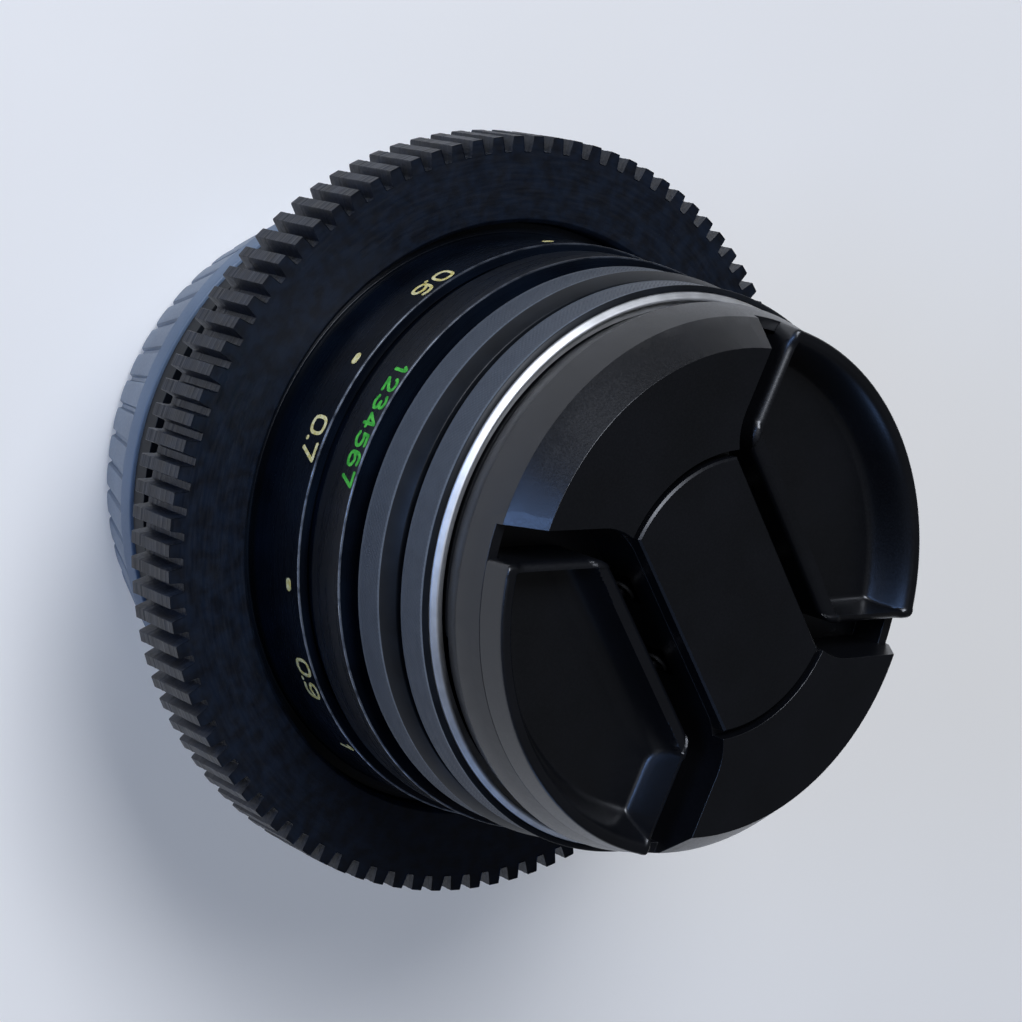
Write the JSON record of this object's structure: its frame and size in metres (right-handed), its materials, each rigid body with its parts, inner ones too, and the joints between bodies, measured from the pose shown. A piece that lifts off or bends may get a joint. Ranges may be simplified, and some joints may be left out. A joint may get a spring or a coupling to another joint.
{
  "type": "standard prime lens",
  "caption": "Standard prime lens with geared focus ring, aperture ring and iris, step-up ring and filter on its nose, pinch front cap and bayonet rear cap.",
  "frame": {"origin": "centre of the rear cap's flat back, on which the lens stands", "axes": "+Z along the optical axis towards the front; +X along the front cap's pinch direction, towards its left lever"},
  "size_m": [0.08, 0.08, 0.072],
  "materials": {
    "rear_cap_plastic": "satin",
    "gear_plastic": "matt, in printed layers",
    "barrel_enamel": "glossy",
    "black_anodised": "matt anodised",
    "bare_aluminium": "turned",
    "brass": "greased",
    "steel": "plain",
    "blade_black": "matt",
    "cap_plastic": "satin",
    "optical_glass": "coated"
  },
  "bodies": {
    "fixed_barrel": {"main_barrel": "barrel_enamel", "bayonet_mount": "black_anodised", "mount_screws": "steel", "focus_key": "brass", "focus_lock_screws": "steel", "click_ball": "steel"},
    "focus_ring": {"focus_ring": "barrel_enamel", "focus_gear": "gear_plastic"},
    "optical_block": {"helicoid_sleeve": "brass", "front_barrel": "barrel_enamel", "front_cell": "black_anodised", "front_group_spacer": "black_anodised", "front_retaining_ring": "black_anodised", "rear_cell": "black_anodised", "rear_retaining_ring": "black_anodised", "iris_housing": "black_anodised", "front_element": "optical_glass", "front_doublet_crown": "optical_glass", "front_doublet_flint": "optical_glass", "rear_doublet_flint": "optical_glass", "rear_doublet_crown": "optical_glass", "rear_element": "optical_glass", "step_up_ring": "black_anodised", "filter_ring": "black_anodised", "filter_glass": "optical_glass", "filter_retaining_ring": "black_anodised", "filter_front_ring": "bare_aluminium"},
    "aperture_ring": {"aperture_ring": "barrel_enamel", "aperture_fork": "steel"},
    "iris_cam": {"iris_cam_ring": "black_anodised", "iris_drive_rod": "steel"},
    "iris_blade_1": {"iris_blade_1": "blade_black"},
    "iris_blade_2": {"iris_blade_2": "blade_black"},
    "iris_blade_3": {"iris_blade_3": "blade_black"},
    "iris_blade_4": {"iris_blade_4": "blade_black"},
    "iris_blade_5": {"iris_blade_5": "blade_black"},
    "iris_blade_6": {"iris_blade_6": "blade_black"},
    "front_cap": {"cap_body": "cap_plastic", "cap_centre_plate": "cap_plastic", "cap_springs": "steel"},
    "cap_lever_left": {"cap_lever_left": "cap_plastic"},
    "cap_lever_right": {"cap_lever_right": "cap_plastic"},
    "rear_cap": {"rear_cap": "rear_cap_plastic"}
  },
  "joints": [
    {"name": "focus_turn", "type": "hinge", "parent": "fixed_barrel", "child": "focus_ring", "pos_m": [0, 0, 0.0312], "axis": [0, 0, 1], "range_deg": [0, 322]},
    {"name": "focus_travel", "type": "slide", "parent": "fixed_barrel", "child": "optical_block", "axis": [0, 0, 1], "range_m": [0, 0.0091]},
    {"name": "aperture_turn", "type": "hinge", "parent": "fixed_barrel", "child": "aperture_ring", "pos_m": [0, 0, 0.0198], "axis": [0, 0, 1], "range_deg": [0, 60]},
    {"name": "iris_cam_turn", "type": "hinge", "parent": "optical_block", "child": "iris_cam", "pos_m": [0, 0, 0.0305], "axis": [0, 0, 1], "range_deg": [0, 60]},
    {"name": "iris_blade_1_swing", "type": "hinge", "parent": "optical_block", "child": "iris_blade_1", "pos_m": [0.0187, 0, 0.028], "axis": [0, 0, 1], "range_deg": [0, 29]},
    {"name": "iris_blade_2_swing", "type": "hinge", "parent": "optical_block", "child": "iris_blade_2", "pos_m": [0.00935, 0.0162, 0.028], "axis": [0, 0, 1], "range_deg": [0, 29]},
    {"name": "iris_blade_3_swing", "type": "hinge", "parent": "optical_block", "child": "iris_blade_3", "pos_m": [-0.00935, 0.0162, 0.028], "axis": [0, 0, 1], "range_deg": [0, 29]},
    {"name": "iris_blade_4_swing", "type": "hinge", "parent": "optical_block", "child": "iris_blade_4", "pos_m": [-0.0187, 0, 0.028], "axis": [0, 0, 1], "range_deg": [0, 29]},
    {"name": "iris_blade_5_swing", "type": "hinge", "parent": "optical_block", "child": "iris_blade_5", "pos_m": [-0.00935, -0.0162, 0.028], "axis": [0, 0, 1], "range_deg": [0, 29]},
    {"name": "iris_blade_6_swing", "type": "hinge", "parent": "optical_block", "child": "iris_blade_6", "pos_m": [0.00935, -0.0162, 0.028], "axis": [0, 0, 1], "range_deg": [0, 29]},
    {"name": "cap_pull", "type": "slide", "parent": "optical_block", "child": "front_cap", "axis": [0, 0, 1], "range_m": [0, 0.025]},
    {"name": "cap_lever_left_pinch", "type": "slide", "parent": "front_cap", "child": "cap_lever_left", "axis": [-1, 0, 0], "range_m": [0, 0.0023], "stiffness_N_per_m": 600},
    {"name": "cap_lever_right_pinch", "type": "slide", "parent": "front_cap", "child": "cap_lever_right", "axis": [1, 0, 0], "range_m": [0, 0.0023], "stiffness_N_per_m": 600},
    {"name": "rear_cap_turn", "type": "hinge", "parent": "fixed_barrel", "child": "rear_cap", "pos_m": [0, 0, 0.0067], "axis": [0, 0, 1], "range_deg": [0, 60]}
  ],
  "couplings": [
    {"joint": "focus_travel", "follows": "focus_turn", "m_per_rad": 0.0016014},
    {"joint": "iris_cam_turn", "follows": "aperture_turn", "ratio": 1},
    {"joint": "iris_blade_1_swing", "follows": "aperture_turn", "ratio": 0.48317},
    {"joint": "iris_blade_2_swing", "follows": "aperture_turn", "ratio": 0.48317},
    {"joint": "iris_blade_3_swing", "follows": "aperture_turn", "ratio": 0.48317},
    {"joint": "iris_blade_4_swing", "follows": "aperture_turn", "ratio": 0.48317},
    {"joint": "iris_blade_5_swing", "follows": "aperture_turn", "ratio": 0.48317},
    {"joint": "iris_blade_6_swing", "follows": "aperture_turn", "ratio": 0.48317}
  ]
}
